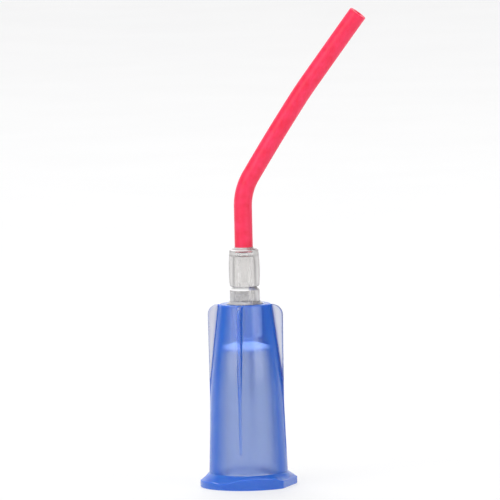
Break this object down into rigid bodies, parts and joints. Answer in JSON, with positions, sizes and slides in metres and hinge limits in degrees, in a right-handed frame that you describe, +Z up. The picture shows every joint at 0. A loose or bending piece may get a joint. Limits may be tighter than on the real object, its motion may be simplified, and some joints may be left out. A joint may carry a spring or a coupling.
{
  "type": "luer-lock dispensing tip",
  "caption": "Dispensing tip with a winged translucent blue Luer-lock hub, a clear collar and a pink cannula bent to one side.",
  "frame": {"origin": "centre of the Luer socket's mouth, on the hub's axis, in the plane that the flange stands on", "axes": "+Z up the hub's axis towards the cannula, +X towards the side that the cannula leans to, +Y away from the viewer"},
  "size_m": [0.014, 0.0078, 0.0381],
  "materials": {
    "hub_blue": "translucent moulded polypropylene, satin",
    "collar_clear": "clear, glossy",
    "tube_clear": "clear, glossy",
    "cannula_pink": "soft satin",
    "adhesive_clear": "clear, wet-looking"
  },
  "bodies": {
    "root": {"luer_hub": "hub_blue", "transfer_tube": "tube_clear", "seat_ring": "collar_clear", "clear_sleeve": "collar_clear", "bent_cannula": "cannula_pink", "neck_bead": "adhesive_clear", "foot_bead": "adhesive_clear"}
  },
  "joints": []
}
